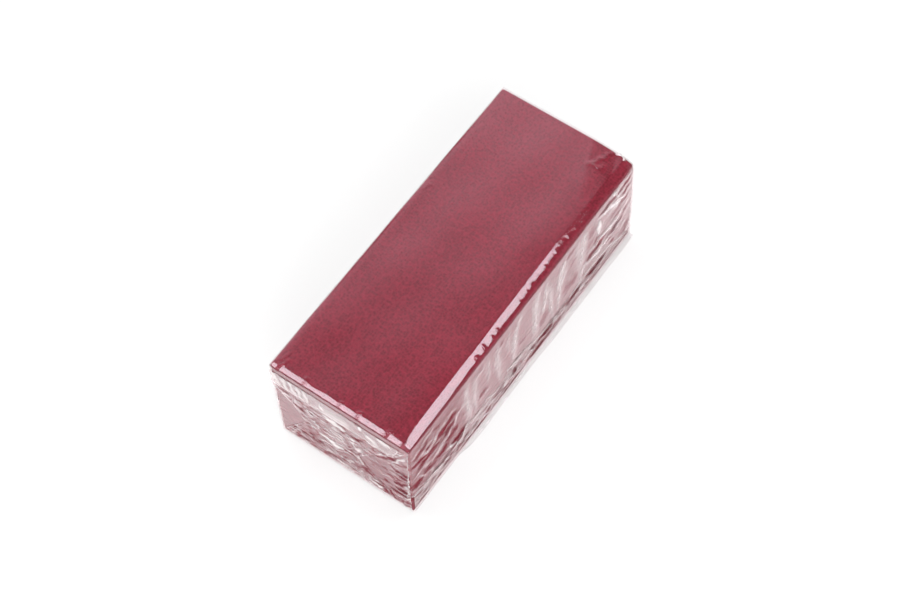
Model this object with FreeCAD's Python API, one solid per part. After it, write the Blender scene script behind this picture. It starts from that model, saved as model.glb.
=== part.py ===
import FreeCAD, Part
import math
import os

# A stack of folded paper napkins, wrapped and sealed in clear film. Millimetres.
# X runs along the napkins, Y across them and +Z up. The origin is on the floor,
# below the middle of the whole pack.

# Sheet that each napkin is folded from
SHEET_LENGTH = 400.0       # halved by the cross fold
SHEET_WIDTH = 330.0        # quartered by the two lengthwise folds
LAYER = 0.155              # one two-ply layer, pressed in the stack
FOLD_GAP = 0.05            # air left inside a fold
FREE_EDGE_STEP = 0.8       # the sheet's side edges stop short of the first crease
OPEN_END_STEP = 0.6        # the upper leaf stops short of the lower one

# Stack
NAPKIN_COUNT = 50
NAPKIN_SHIFT = 0.15        # furthest that a napkin lies off the middle
NAPKIN_TURN = 0.08         # furthest that a napkin is turned, in degrees

# Film
FILM = 0.2                 # thickness
SIDE_PLAY = 0.8            # room between the napkins and the film's long sides
END_PLAY = 0.4             # room beyond the napkins at each end
TOP_PLAY = 0.8             # room above the stack
EDGE_RADIUS = 2.2          # rounding of the long top edges
EDGE_FLATS = 3             # flats that make up that rounding
END_BEVEL = 0.6            # bevel round each end

# Envelope fold at each end
STRIP_DEPTH = 16.0         # full-width strip at the top of the top flap
TUCK_HEIGHT = 30.0         # height of the side tucks' points
TUCK_REACH_BACK = 19.0     # how far the tuck of the back side reaches in
TUCK_REACH_FRONT = 33.0    # how far the tuck of the front side reaches in
TOP_FLAP_END = 25.0        # height of the top flap's free edge
BOTTOM_FLAP_END = 48.0     # height of the bottom flap's free edge
FLAP_MARGIN = 1.2          # flaps stay this far inside the end's outline

# Long seam at the foot of the front side
LAP_HEIGHT = 17.0          # the film lies double up to this height
LAP_WAVE = 2.6             # rise and fall of the lap's edge
LAP_POINTS = 14
FIN_REACH = 3.4            # the seam's fin lies on the floor this far out
FIN_WAVE = 0.6
FIN_START = -57.0          # the fin runs from here to the far end
FIN_POINTS = 11

# Creases. A height is how far one stands proud, a reach is half the width of its foot,
# and a sway is the most that chance has shifted its place or its slope.
RIB_COUNT = 12             # upright creases on each long side
RIB_SPAN = 112.0           # length of the side that they take up
RIB_HEIGHT = 1.3
RIB_REACH = 2.4
RIB_LEAN = 5.5
RIB_TOP_GAP = 2.0          # room between the ribs and the rounded top edge
RIB_TOP_SWAY = 2.0
RIB_FOOT_GAP = 5.0         # room between the ribs and the lap
RIB_FOOT_SWAY = 4.0
FAN_COUNT = 6              # long creases that fan out from each upright edge
FAN_LENGTH = 38.0
FAN_HEIGHT = 1.5
FAN_REACH = 2.4
FAN_INSET = 2.0            # room between them and the upright edge
FAN_FOOT_GAP = 4.0         # room between the lowest one and the lap
FAN_SWAY = 5.0
LAP_CREASES = 15           # short creases on the lap
LAP_CREASE_LENGTH = 13.0
LAP_CREASE_HEIGHT = 0.9
LAP_CREASE_REACH = 1.4
LAP_CREASE_SWAY = 1.5
GATHER_COUNT = 8           # puckers up each upright edge
GATHER_HEIGHT = 0.9
GATHER_REACH = 7.0
GATHER_SWAY = 2.0
GATHER_ROOT = 1.0          # how far one reaches in behind the edge
END_CREASES = 11           # level creases across each end
END_CREASE_LENGTH = 24.0
END_CREASE_HEIGHT = 0.8
END_CREASE_REACH = 1.3
END_CREASE_FOOT = 5.0      # height of the lowest one
END_CREASE_TOP_GAP = 7.0   # room between the highest one and the strip
END_CREASE_SWAY = 7.0      # along the end
END_CREASE_TILT = 1.4
PLEAT_COUNT = 9            # small pleats that hang from the top flap's strip
PLEAT_LENGTH = 8.0
PLEAT_HEIGHT = 0.6
PLEAT_REACH = 1.1
PLEAT_BACK_GAP = 5.0       # room between the first one and the back edge
PLEAT_FRONT_GAP = 11.0     # room left at the front edge
PLEAT_OVERLAP = 1.0        # how far one starts below the strip's fold
PLEAT_SWAY = 2.5
TUCK_CREASES = 5           # creases that run from each upright edge into a side tuck
TUCK_CREASE_LENGTH = 11.0
TUCK_CREASE_HEIGHT = 0.9
TUCK_CREASE_REACH = 1.4
TUCK_CREASE_SWAY = 3.5
NOTCH_COUNT = 6            # small nicks across the front top edge
NOTCH_START = -42.0        # where the first one is along the edge
NOTCH_PITCH = 7.0
NOTCH_SWAY = 2.0
NOTCH_SLANT = 1.2
NOTCH_LENGTH = 3.6
NOTCH_HEIGHT = 0.5
NOTCH_REACH = 0.8
NOTCH_INSET = 0.3          # room between them and the rounded edge
CORNER_CREASE = 17.0       # crease that crosses a top corner
CORNER_CREASE_REACH = 2.0
CORNER_END_GAP = 1.5       # room between it and the end
CORNER_SIDE_GAP = 1.0      # room between it and the rounded edge

# Sizes that follow
NAPKIN_LENGTH = SHEET_LENGTH / 2
NAPKIN_WIDTH = SHEET_WIDTH / 4
ARM = 2 * LAYER
LEAF = 2 * ARM + FOLD_GAP
NAPKIN_HEIGHT = 2 * LEAF + FOLD_GAP
STACK_HEIGHT = NAPKIN_COUNT * NAPKIN_HEIGHT
HALF_LENGTH = NAPKIN_LENGTH / 2 + END_PLAY + FILM
HALF_WIDTH = NAPKIN_WIDTH / 2 + SIDE_PLAY + FILM
HEIGHT = STACK_HEIGHT + TOP_PLAY + 2 * FILM


def swept_solid(rings):
    """Solid through a row of rings that have as many points each."""
    faces = [flat_face(rings[0]), flat_face(rings[-1])]
    for ring, following in zip(rings, rings[1:]):
        for index, point in enumerate(ring):
            last = (index + 1) % len(ring)
            faces.append(flat_face([point, ring[last], following[last], following[index]]))
    return closed_solid(faces)


def flat_face(points):
    return Part.Face(Part.makePolygon(points + points[:1]))


def closed_solid(faces):
    shell = Part.Shell(faces)
    shell.sewShape()
    solid = Part.Solid(shell)
    if solid.Volume < 0:
        solid.reverse()
    return solid


def half_octagon(centre_y, centre_s, radius, side):
    """The four points of a fold's rounded nose, which faces +Y or -Y."""
    points = []
    for step in range(4):
        angle = math.radians(67.5 - 45.0 * step)
        length = radius / math.cos(math.radians(22.5))
        points.append((centre_y + side * length * math.cos(angle),
                       centre_s + length * math.sin(angle)))
    return points


def leaf_outline():
    """Outline of a leaf: across the napkin, and out from the cross fold."""
    edge = NAPKIN_WIDTH / 2
    free = edge - FREE_EDGE_STEP
    second_fold = half_octagon(-edge + LEAF / 2, LEAF / 2, LEAF / 2, -1)
    first_fold = half_octagon(edge - ARM / 2, LEAF - ARM / 2, ARM / 2, 1)
    slit = [(-edge + ARM, ARM + FOLD_GAP), (-edge + ARM, ARM)]
    return [(free, 0.0)] + second_fold[::-1] + first_fold + slit + [(free, ARM)]


def napkin():
    """One napkin, folded twice lengthwise and once across."""
    bend = math.cos(math.radians(30))
    fold_x = -NAPKIN_LENGTH / 2 + (FOLD_GAP / 2 + LEAF) / bend
    end_x = NAPKIN_LENGTH / 2
    outline = leaf_outline()
    rings = [[FreeCAD.Vector(end_x, y, -s - FOLD_GAP / 2) for y, s in outline]]
    for degrees in (240, 180, 120):
        angle = math.radians(degrees)
        ring = []
        for y, s in outline:
            out = (s + FOLD_GAP / 2) / bend
            ring.append(FreeCAD.Vector(fold_x + out * math.cos(angle), y, out * math.sin(angle)))
        rings.append(ring)
    rings.append([FreeCAD.Vector(end_x - OPEN_END_STEP, y, s + FOLD_GAP / 2)
                  for y, s in outline])
    return swept_solid(rings)


def napkin_stack():
    """The napkins, face to face, none of them quite square to the rest."""
    pattern = napkin()
    stack = {}
    for index in range(NAPKIN_COUNT):
        piece = pattern.copy()
        turn = NAPKIN_TURN * math.sin(3.1 * index)
        piece.rotate(FreeCAD.Vector(0, 0, 0), FreeCAD.Vector(0, 0, 1), turn)
        piece.translate(FreeCAD.Vector(NAPKIN_SHIFT * math.sin(2.4 * index),
                                       NAPKIN_SHIFT * math.sin(1.7 * index + 1),
                                       FILM + (index + 0.5) * NAPKIN_HEIGHT))
        stack["napkin_%02d" % (index + 1)] = piece
    return stack


def wrap_ring(x, offset, bevel):
    """The wrap's outline across the pack, with both long top edges rounded."""
    half = HALF_WIDTH - offset - bevel
    top = HEIGHT - offset - bevel
    radius = EDGE_RADIUS - offset - bevel
    points = [(half, offset)]
    for step in range(EDGE_FLATS + 1):
        angle = math.radians(90.0 * step / EDGE_FLATS)
        points.append((half - radius + radius * math.cos(angle),
                       top - radius + radius * math.sin(angle)))
    mirrored = [(-y, z) for y, z in points[::-1]]
    return [FreeCAD.Vector(x, y, z) for y, z in points + mirrored]


def wrap_form(offset):
    """The wrap's form, offset inward: 0 for its outside and FILM for its inside."""
    end = HALF_LENGTH - offset
    rings = [wrap_ring(-end, offset, END_BEVEL), wrap_ring(END_BEVEL - end, offset, 0),
             wrap_ring(end - END_BEVEL, offset, 0), wrap_ring(end, offset, END_BEVEL)]
    return swept_solid(rings)


def plate(points, thickness):
    """A flat piece of film with the given outline, thickened along one axis."""
    return flat_face(points).extrude(thickness)


def end_flaps(side):
    """Bottom flap, then top flap, folded over the side tucks at one end."""
    base = HALF_LENGTH * side
    back = HALF_WIDTH - FLAP_MARGIN
    top = HEIGHT - FLAP_MARGIN
    back_point = HALF_WIDTH - TUCK_REACH_BACK
    front_point = -HALF_WIDTH + TUCK_REACH_FRONT
    rise = (BOTTOM_FLAP_END - TUCK_HEIGHT) / TUCK_HEIGHT
    back_top = back_point - rise * (back - back_point)
    front_top = front_point + rise * (front_point + back) / 2
    if front_top > back_top:
        front_top = back_top = (front_top + back_top) / 2
    bottom = [(back, 0), (-back, 0), (front_point, TUCK_HEIGHT), (front_top, BOTTOM_FLAP_END),
              (back_top, BOTTOM_FLAP_END), (back_point, TUCK_HEIGHT)]
    strip = top - STRIP_DEPTH
    lid = [(back, top), (-back, top), (-back, strip), (front_point, TUCK_HEIGHT),
           (front_point + FLAP_MARGIN, TOP_FLAP_END), (back_point - FLAP_MARGIN, TOP_FLAP_END),
           (back_point, TUCK_HEIGHT), (back, strip)]
    flaps = []
    for outline, layers in ((bottom, 1), (lid, 2)):
        points = [FreeCAD.Vector(base, y, z) for y, z in outline]
        flaps.append(plate(points, FreeCAD.Vector(side * layers * FILM, 0, 0)))
    return flaps


def seam_lap():
    """The film's overlap at the foot of the front side, with its uneven edge."""
    length = 2 * (HALF_LENGTH - END_BEVEL)
    points = [FreeCAD.Vector(length / 2, -HALF_WIDTH, 0), FreeCAD.Vector(-length / 2, -HALF_WIDTH, 0)]
    for step in range(LAP_POINTS):
        x = -length / 2 + length * step / (LAP_POINTS - 1)
        wave = math.sin(2.1 * step) + 0.5 * math.sin(0.9 * step)
        points.append(FreeCAD.Vector(x, -HALF_WIDTH, LAP_HEIGHT + LAP_WAVE * wave))
    return plate(points, FreeCAD.Vector(0, -FILM, 0))


def seam_fin():
    """The seam's edge, which lies flat on the floor in front of the pack."""
    end = HALF_LENGTH - END_BEVEL
    points = [FreeCAD.Vector(end, -HALF_WIDTH, 0), FreeCAD.Vector(FIN_START, -HALF_WIDTH, 0)]
    for step in range(1, FIN_POINTS):
        x = FIN_START + (end - FIN_START) * step / (FIN_POINTS - 1)
        reach = FIN_REACH + FIN_WAVE * math.sin(1.9 * step)
        points.append(FreeCAD.Vector(x, -HALF_WIDTH - reach, 0))
    return plate(points, FreeCAD.Vector(0, 0, FILM))


def front_wall(x, z, out):
    return FreeCAD.Vector(x, -HALF_WIDTH - out, z)


def back_wall(x, z, out):
    return FreeCAD.Vector(x, HALF_WIDTH + out, z)


def top_wall(x, y, out):
    return FreeCAD.Vector(x, y, HEIGHT + out)


def near_end(y, z, out):
    return FreeCAD.Vector(-HALF_LENGTH - out, y, z)


def far_end(y, z, out):
    return FreeCAD.Vector(HALF_LENGTH + out, y, z)


def buckle(rim, peak, root):
    """A facetted bulge: a closed rim with a peak on one side and a root on the other."""
    faces = []
    for index, point in enumerate(rim):
        following = rim[(index + 1) % len(rim)]
        faces.append(flat_face([point, following, peak]))
        faces.append(flat_face([following, point, root]))
    return closed_solid(faces)


def crease(wall, start, end, reach, height, out):
    """A ridge on a wall, highest at two fifths of its length and fading at both ends."""
    run = (end[0] - start[0], end[1] - start[1])
    length = math.hypot(run[0], run[1])
    side = (-run[1] / length * reach, run[0] / length * reach)
    middle = (start[0] + 0.4 * run[0], start[1] + 0.4 * run[1])
    left = (middle[0] + side[0], middle[1] + side[1])
    right = (middle[0] - side[0], middle[1] - side[1])
    rim = [wall(u, v, out) for u, v in (start, left, end, right)]
    peak = wall(middle[0], middle[1], out + height)
    root = wall(middle[0], middle[1], out - FILM / 2)
    return buckle(rim, peak, root)


def rib_creases(wall, phase, out):
    """Upright ribs in the middle of a long side, where the film is pulled down."""
    ribs = []
    for index in range(RIB_COUNT):
        x = RIB_SPAN * (index / (RIB_COUNT - 1) - 0.5)
        lean = RIB_LEAN * (0.4 + math.sin(1.3 * index + phase))
        drop = RIB_TOP_GAP + RIB_TOP_SWAY * math.sin(2.0 * index + phase) ** 2
        climb = RIB_FOOT_GAP + RIB_FOOT_SWAY * math.sin(1.7 * index) ** 2
        top = (x, HEIGHT - EDGE_RADIUS - drop)
        foot = (x - lean, LAP_HEIGHT + LAP_WAVE + climb)
        height = RIB_HEIGHT * (0.75 + 0.25 * math.sin(2.9 * index + phase))
        ribs.append(crease(wall, top, foot, RIB_REACH, height, out))
    return ribs


def fan_creases(wall, phase, out):
    """Long creases that fan out from the upright edges towards the middle."""
    fans = []
    room = HEIGHT - 2 * LAP_HEIGHT
    edge = HALF_LENGTH - END_BEVEL - FAN_INSET
    for side in (-1, 1):
        for index in range(FAN_COUNT):
            z = LAP_HEIGHT + FAN_FOOT_GAP + room * (index + 0.3) / FAN_COUNT
            rise = FAN_SWAY * math.sin(2.2 * index + phase + side)
            length = FAN_LENGTH * (0.8 + 0.2 * math.sin(1.9 * index + phase))
            start = (side * edge, z)
            end = (side * (edge - length), z + rise)
            fans.append(crease(wall, start, end, FAN_REACH, FAN_HEIGHT, out))
    return fans


def lap_creases(wall, out):
    """Short level creases on the lap, in two uneven rows."""
    creases = []
    pitch = 2 * (HALF_LENGTH - LAP_CREASE_LENGTH) / (LAP_CREASES - 1)
    for index in range(LAP_CREASES):
        x = LAP_CREASE_LENGTH - HALF_LENGTH + pitch * index
        z = LAP_HEIGHT * (0.45 + 0.14 * (-1) ** index)
        tilt = LAP_CREASE_SWAY * math.sin(2.7 * index)
        start = (x - LAP_CREASE_LENGTH / 2, z - tilt)
        end = (x + LAP_CREASE_LENGTH / 2, z + tilt)
        creases.append(crease(wall, start, end, LAP_CREASE_REACH, LAP_CREASE_HEIGHT, out))
    return creases


def end_creases(wall, phase):
    """Level creases across an end, on its bottom flap and, higher up, on its top flap."""
    creases = []
    room = HEIGHT - STRIP_DEPTH - END_CREASE_TOP_GAP - END_CREASE_FOOT
    for index in range(END_CREASES):
        z = END_CREASE_FOOT + room * index / (END_CREASES - 1)
        layers = 1 if z < TOP_FLAP_END + END_CREASE_REACH else 2
        middle = END_CREASE_SWAY * math.sin(1.9 * index + phase)
        half = END_CREASE_LENGTH * (0.4 + 0.12 * math.sin(2.6 * index + phase))
        tilt = END_CREASE_TILT * math.sin(3.3 * index + phase)
        start = (middle - half, z - tilt)
        end = (middle + half, z + tilt)
        creases.append(crease(wall, start, end, END_CREASE_REACH, END_CREASE_HEIGHT,
                              layers * FILM))
    return creases


def strip_pleats(wall, phase):
    """Small pleats below the fold of the top flap's strip, packed closer to the back."""
    pleats = []
    level = HEIGHT - FLAP_MARGIN - STRIP_DEPTH
    room = 2 * HALF_WIDTH - PLEAT_BACK_GAP - PLEAT_FRONT_GAP
    for index in range(PLEAT_COUNT):
        share = (index + 0.5) / PLEAT_COUNT
        y = HALF_WIDTH - PLEAT_BACK_GAP - room * share ** 1.4
        length = PLEAT_LENGTH * (0.8 + 0.3 * math.sin(2.5 * index + phase))
        start = (y, level - PLEAT_OVERLAP)
        end = (y + PLEAT_SWAY * math.sin(1.6 * index + phase), level + length)
        pleats.append(crease(wall, start, end, PLEAT_REACH, PLEAT_HEIGHT, 2 * FILM))
    return pleats


def tuck_creases(wall, phase):
    """Creases that run from the upright edges into both side tucks."""
    creases = []
    for side in (-1, 1):
        edge = side * (HALF_WIDTH - 2 * END_BEVEL)
        for index in range(TUCK_CREASES):
            z = 0.5 * TUCK_HEIGHT + (1.1 * TUCK_HEIGHT) * index / (TUCK_CREASES - 1)
            fall = TUCK_CREASE_SWAY * math.sin(1.4 * index + phase)
            length = TUCK_CREASE_LENGTH * (0.85 + 0.2 * math.sin(2.1 * index + side))
            end = (edge - side * length, z - fall)
            creases.append(crease(wall, (edge, z), end, TUCK_CREASE_REACH,
                                  TUCK_CREASE_HEIGHT, 0.0))
    return creases


def top_creases(out):
    """Nicks across the front top edge, and a crease across two of the top corners."""
    creases = []
    edge = -HALF_WIDTH + EDGE_RADIUS + NOTCH_INSET
    for index in range(NOTCH_COUNT):
        x = NOTCH_START + NOTCH_PITCH * index + NOTCH_SWAY * math.sin(2.0 * index)
        end = (x + NOTCH_SLANT, edge + NOTCH_LENGTH)
        creases.append(crease(top_wall, (x, edge), end, NOTCH_REACH, NOTCH_HEIGHT, out))
    for side_x, side_y in ((1, -1), (-1, 1)):
        corner_x = side_x * (HALF_LENGTH - END_BEVEL - CORNER_END_GAP)
        corner_y = side_y * (HALF_WIDTH - EDGE_RADIUS - CORNER_SIDE_GAP)
        start = (corner_x, corner_y - side_y * CORNER_CREASE * 0.6)
        end = (corner_x - side_x * CORNER_CREASE, corner_y)
        creases.append(crease(top_wall, start, end, CORNER_CREASE_REACH, NOTCH_HEIGHT, out))
    return creases


def edge_gather(side_x, side_y, index, offset):
    """One pucker on an upright edge, which reaches round from the long side to the end."""
    pitch = (HEIGHT - 2 * END_BEVEL - EDGE_RADIUS) / GATHER_COUNT
    z = END_BEVEL + pitch * (index + 0.5)
    tilt = GATHER_SWAY * math.sin(2.3 * index + side_x)
    reach = GATHER_REACH * (0.8 + 0.3 * math.sin(1.7 * index + side_y))
    height = GATHER_HEIGHT * (0.7 + 0.3 * math.sin(2.9 * index + 2 * side_x + side_y))
    end_x = HALF_LENGTH - offset
    wall_y = HALF_WIDTH - offset
    edge_x = end_x - END_BEVEL / 2
    edge_y = wall_y - END_BEVEL / 2
    half = 0.42 * pitch
    points = [(end_x - END_BEVEL - reach, wall_y, z + tilt), (edge_x, edge_y, z + half),
              (end_x, wall_y - END_BEVEL - 0.7 * reach, z - tilt), (edge_x, edge_y, z - half),
              (end_x + height, wall_y + height, z),
              (edge_x - GATHER_ROOT, edge_y - GATHER_ROOT, z)]
    placed = [FreeCAD.Vector(side_x * x, side_y * y, level) for x, y, level in points]
    return buckle(placed[:4], placed[4], placed[5])


def edge_gathers(offset):
    """Puckers up the four upright edges."""
    corners = [(side_x, side_y) for side_x in (-1, 1) for side_y in (-1, 1)]
    return [edge_gather(side_x, side_y, index, offset)
            for side_x, side_y in corners for index in range(GATHER_COUNT)]


def film_wrap():
    """The film: its outside, less the room that its inside holds."""
    outside = wrap_form(0)
    inside = wrap_form(FILM)
    surface = []
    hollow = []
    for target, out in ((surface, 0.0), (hollow, -FILM)):
        target.extend(rib_creases(front_wall, 0.0, out))
        target.extend(rib_creases(back_wall, 1.4, out))
        target.extend(fan_creases(front_wall, 0.0, out))
        target.extend(fan_creases(back_wall, 0.9, out))
        target.extend(top_creases(out))
        target.extend(edge_gathers(-out))
    surface.extend(lap_creases(front_wall, FILM))
    for wall, phase in ((near_end, 0.0), (far_end, 2.0)):
        surface.extend(end_creases(wall, phase))
        surface.extend(strip_pleats(wall, phase))
        surface.extend(tuck_creases(wall, phase))
    surface.extend(end_flaps(-1) + end_flaps(1) + [seam_lap(), seam_fin()])
    return outside.multiFuse(surface).cut(inside.multiFuse(hollow))


def main():
    pieces = napkin_stack()
    pieces["film_wrap"] = film_wrap()
    middle = pieces["film_wrap"].BoundBox.Center
    os.makedirs("parts", exist_ok=True)
    for name, shape in pieces.items():
        shape.translate(FreeCAD.Vector(-middle.x, -middle.y, 0))
        shape.exportStep("parts/%s.step" % name)


main()
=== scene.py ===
import math

import bpy
import numpy as np
from bpy.props import FloatProperty, FloatVectorProperty, PointerProperty, StringProperty
from mathutils import Matrix, Vector


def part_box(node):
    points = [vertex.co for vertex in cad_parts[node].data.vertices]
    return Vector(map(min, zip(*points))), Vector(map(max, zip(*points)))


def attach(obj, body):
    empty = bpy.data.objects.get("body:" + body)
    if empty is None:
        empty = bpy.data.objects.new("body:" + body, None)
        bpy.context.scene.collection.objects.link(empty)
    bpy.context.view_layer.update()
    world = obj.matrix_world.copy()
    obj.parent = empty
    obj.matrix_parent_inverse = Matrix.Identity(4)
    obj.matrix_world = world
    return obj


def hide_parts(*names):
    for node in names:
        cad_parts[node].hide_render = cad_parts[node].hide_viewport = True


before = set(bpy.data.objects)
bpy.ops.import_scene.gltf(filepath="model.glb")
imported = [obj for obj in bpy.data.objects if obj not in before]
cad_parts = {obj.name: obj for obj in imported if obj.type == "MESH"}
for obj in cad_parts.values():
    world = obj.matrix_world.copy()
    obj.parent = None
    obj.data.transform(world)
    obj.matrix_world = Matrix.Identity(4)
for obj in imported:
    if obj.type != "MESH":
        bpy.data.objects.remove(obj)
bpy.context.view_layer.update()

bl_info = {
    "name": "Wrapped paper napkins",
    "version": (1, 0, 0),
    "blender": (4, 5, 0),
    "location": "3D View > Sidebar > Napkins",
    "description": "Dresses a stack of folded paper napkins in clear creased film",
    "category": "Object",
}

NAPKINS = sorted(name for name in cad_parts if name.startswith("napkin_"))
FILM_NODE = "film_wrap"
MM = 0.001

# Gaps in millimetres: from the stack to the film at its ends and long sides, and above it.
SIDE_PLAY = 0.45
TOP_PLAY = 1.0
SPRING_GAP = 0.25          # left above the napkins, which spring up towards the film

# The stack as the solids give it, in millimetres; every other place is about its own middle.
STACK_LOW = [min(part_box(name)[0][axis] for name in NAPKINS) / MM for axis in range(3)]
STACK_HIGH = [max(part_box(name)[1][axis] for name in NAPKINS) / MM for axis in range(3)]
MIDDLE_Y = (STACK_LOW[1] + STACK_HIGH[1]) / 2
HALF_LENGTH = (STACK_HIGH[0] - STACK_LOW[0]) / 2 + SIDE_PLAY    # from the middle to the film's ends
HALF_WIDTH = (STACK_HIGH[1] - STACK_LOW[1]) / 2 + SIDE_PLAY     # and to its long sides
STACK_TOP = STACK_HIGH[2]
FILM_TOP = STACK_TOP + TOP_PLAY
PAPER_TOP = FILM_TOP - SPRING_GAP

# Rounding of the wrap, in millimetres.
FRONT_RADIUS = 1.2
BACK_RADIUS = 0.7
FOOT_RADIUS = 0.7
NEAR_RADIUS = 0.9
FAR_RADIUS = 0.35


# Numbers and meshes

FADE_SHARE = 0.35          # share of a fold's length over which each end fades out
# The line down a fold's middle is a painted line, pale or dark as the fold.
CORE_REACH = 0.9           # half the width of the line down its middle
WANDER = 0.6               # how far the folds' paths stray, and over what distance
WANDER_GRAIN = (7, 7)
CLING = 0.75               # how clear film is where it clings to the layer over it


def smooth_noise(points, pitch, seed, waves=7):
    """Smooth noise of about -1 to 1 at each point; pitch is its grain along each axis."""
    draw = np.random.default_rng(seed)
    total = np.zeros(len(points))
    scaled = points / np.asarray(pitch, float)
    for _ in range(waves):
        direction = draw.normal(size=points.shape[1])
        direction *= draw.uniform(0.6, 1.5) / np.linalg.norm(direction)
        total += np.sin(scaled @ direction * 2 * math.pi + draw.uniform(0, 2 * math.pi))
    return total / math.sqrt(waves)


def ridged_noise(points, pitch, seed):
    """Noise of 0 to 1 with sharp crests, as film creases, and smooth hollows between them."""
    return 1 - np.clip(np.abs(smooth_noise(points, pitch, seed)) * 1.3, 0, 1)


def noise_along(x, grain, seed):
    """Smooth noise that changes along x alone."""
    line = np.stack([np.ravel(x), np.zeros(np.size(x))], 1)
    return smooth_noise(line, (grain, grain), seed).reshape(np.shape(x))


def fold_shape(u, v, fold):
    """Height of one fold over the points (u, v), and its haze and painted sheen: milky haze and painted
    highlight above 0, painted dark below it.

    A fold is (height, offset of its crest to the left of its path, reach to the left of the crest, reach to
    the right, haze and painted sheen, width of the band it paints, path)."""
    height, offset, left, right, haze_and_sheen_paint, width, path = fold
    path = np.asarray(path, float)
    reach = max(left + abs(offset), right + abs(offset), width)
    heights, hazes_and_sheen_paints = np.zeros_like(u), np.zeros_like(u)
    near = ((u > path[:, 0].min() - reach) & (u < path[:, 0].max() + reach)
            & (v > path[:, 1].min() - reach) & (v < path[:, 1].max() + reach))
    if not near.any():
        return heights, hazes_and_sheen_paints
    pu, pv = u[near], v[near]
    best = np.full(pu.shape, 1e9)
    side = np.zeros_like(pu)
    along = np.zeros_like(pu)
    runs = np.linalg.norm(np.diff(path, axis=0), axis=1)
    total = runs.sum()
    done = 0.0
    for start, end, run in zip(path, path[1:], runs):
        du, dv = (end - start) / run
        place = np.clip((pu - start[0]) * du + (pv - start[1]) * dv, 0, run)
        off_u = pu - start[0] - place * du
        off_v = pv - start[1] - place * dv
        distance = np.hypot(off_u, off_v)
        closer = distance < best
        best = np.where(closer, distance, best)
        side = np.where(closer, du * off_v - dv * off_u, side)
        along = np.where(closer, (done + place) / total, along)
        done += run
    from_crest = np.where(side > 0, best, -best) - offset
    profile = np.clip(1 - np.abs(from_crest) / np.where(from_crest > 0, left, right), 0, 1)
    ends = np.clip(np.minimum(along, 1 - along) / FADE_SHARE, 0, 1)
    fade = ends * (2 - ends)
    band = np.clip(1.3 - best / (width / 2 * (0.35 + 0.65 * fade)), 0, 1)
    heights[near] = height * profile ** 1.2 * (0.1 + 0.9 * fade)
    # A painted line down the fold's middle, pale or dark as the fold.
    core = np.clip(1 - best / CORE_REACH, 0, 1)
    hazes_and_sheen_paints[near] = haze_and_sheen_paint * (0.65 * band * band * (3 - 2 * band) + 0.35 * core) * (0.2 + 0.8 * fade)
    return heights, hazes_and_sheen_paints


def light(strength, width, path):
    """A shelf of film turning down from the crest above it, with a painted highlight: a pale band along its
    path.
    """
    return (0.4 * strength, width / 2, 4.5, width, 1.3 * strength, 1.3 * width, path)


def dark(strength, width, path):
    """A slope of film facing up along its path, with painted dark: its mirroring is painted off so the paper
    shows clear through it.
    """
    return (0.6 * strength, -width / 2, width, 4.0, -0.9 * strength, width, path)


def rib(strength, width, path):
    """A pulled ridge with painted highlights on its flanks and down its crest."""
    return (0.35 * strength, 0.0, width, width, 0.8 * strength, width * 2.3, path)


def folded_surface(u, v, folds, seed):
    """Height, and haze and painted sheen, of all folds over the points (u, v), whose paths wander a little.
    """
    points = np.stack([u.ravel(), v.ravel()], 1)
    wander_u = WANDER * smooth_noise(points, WANDER_GRAIN, seed).reshape(u.shape)
    wander_v = WANDER * smooth_noise(points, WANDER_GRAIN, seed + 1).reshape(u.shape)
    shapes = [fold_shape(u + wander_u, v + wander_v, fold) for fold in folds]
    return sum(shape[0] for shape in shapes), sum(shape[1] for shape in shapes)


def scattered_folds(count, low, high, length, strength, width, tilt, seed):
    """Seeded folds of many lengths in a rectangle, within tilt degrees of level."""
    draw = np.random.default_rng(seed)
    folds = []
    for _ in range(count):
        middle = np.array([draw.uniform(low[0], high[0]), draw.uniform(low[1], high[1])])
        angle = math.radians(draw.uniform(-tilt, tilt))
        half = draw.uniform(0.35, 1.0) * length / 2
        step = np.array([math.cos(angle), math.sin(angle)]) * half
        bend = np.array([-step[1], step[0]]) * draw.uniform(-0.25, 0.25)
        path = (middle - step, middle + bend, middle + step)
        kind = dark if draw.random() < 0.5 else light
        folds.append(kind(strength * draw.uniform(0.5, 1.0), width * draw.uniform(0.6, 1.0), path))
    return folds


def grid_object(name, points, haze_and_painted_sheen, closed, outward):
    """A mesh of quads through a grid of points in millimetres, facing along outward."""
    rows, columns = points.shape[:2]
    index = np.arange(rows * columns).reshape(rows, columns)
    first, second = index[:-1], index[1:]
    if closed:
        first, second = (np.hstack([side, side[:, :1]]) for side in (first, second))
    faces = np.stack([first[:, :-1], first[:, 1:], second[:, 1:], second[:, :-1]], -1).reshape(-1, 4)
    flat = points.reshape(-1, 3)
    corners = flat[faces]
    normals = np.cross(corners[:, 1] - corners[:, 0], corners[:, 2] - corners[:, 0])
    middle = corners.mean(1)
    if (normals * outward(middle)).sum() < 0:
        faces = faces[:, ::-1]
    mesh = bpy.data.meshes.new(name)
    mesh.from_pydata(settled(flat).tolist(), [], faces.tolist())
    mesh.shade_smooth()
    layer = mesh.attributes.new("haze_and_painted_sheen", "FLOAT", "POINT")
    layer.data.foreach_set("value", haze_and_painted_sheen.ravel().astype(np.float32))
    mesh.update()
    made = bpy.data.objects.new(name, mesh)
    bpy.context.scene.collection.objects.link(made)
    return made


def joined(name, pieces):
    """One object from several, which then no longer exist by themselves."""
    with bpy.context.temp_override(active_object=pieces[0], selected_editable_objects=pieces):
        bpy.ops.object.join()
    pieces[0].name = pieces[0].data.name = name
    return pieces[0]


def placed(piece, node):
    """A finished piece: it rides on the row's one body and stands for its solid."""
    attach(piece, "root")
    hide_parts(node)


# Materials

FIBRE_PITCH = 0.45         # millimetres, as the next two
DYE_PITCH = 28
EMBOSS_DEPTH = 0.12
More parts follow.
